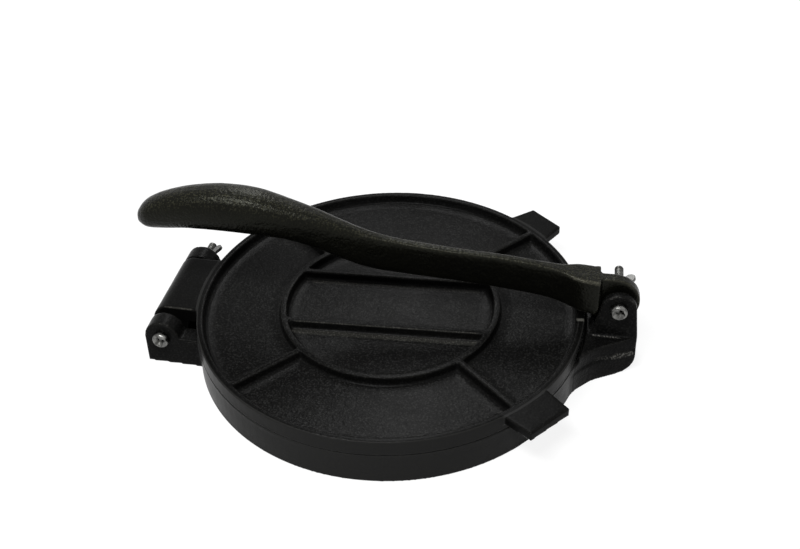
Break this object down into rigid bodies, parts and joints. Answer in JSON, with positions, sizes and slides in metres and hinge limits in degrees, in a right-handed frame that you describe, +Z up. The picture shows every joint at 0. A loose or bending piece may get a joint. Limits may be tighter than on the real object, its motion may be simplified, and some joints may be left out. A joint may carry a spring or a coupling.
{
  "type": "tortilla press",
  "caption": "Cast-iron tortilla press: a round ribbed plate hinged to a round base, closed and pressed by a long lever that turns on a bracket opposite the hinge.",
  "frame": {"origin": "on the table, at the centre of the base's underside, below the middle of the plates", "axes": "+X runs to the lever's pivot and -X to the plate's hinge, +Z is up, -Z is the face that the press stands on"},
  "size_m": [0.2722, 0.214, 0.0986],
  "materials": {
    "base_iron": "sand-cast, blackened",
    "plate_iron": "sand-cast, blackened",
    "lever_iron": "sand-cast, blackened",
    "screw_zinc": "bright zinc plating",
    "nut_zinc": "dull zinc plating"
  },
  "bodies": {
    "base": {"base": "base_iron", "hinge_screw": "screw_zinc", "hinge_wing_nut": "nut_zinc", "pivot_screw": "screw_zinc", "pivot_wing_nut": "nut_zinc"},
    "upper_plate": {"upper_plate": "plate_iron"},
    "lever": {"lever": "lever_iron"}
  },
  "joints": [
    {"name": "lever_swing", "type": "hinge", "parent": "base", "child": "lever", "pos_m": [0.1244, 0.001, 0.04005], "axis": [0, 1, 0], "range_deg": [0, 174]},
    {"name": "plate_hinge", "type": "hinge", "parent": "base", "child": "upper_plate", "pos_m": [-0.12, 0.0045, 0.0177], "axis": [-0.0872, -0.9962, 0], "range_deg": [0, 175]}
  ],
  "couplings": [
    {"joint": "plate_hinge", "follows": "lever_swing", "ratio": 0.08}
  ]
}
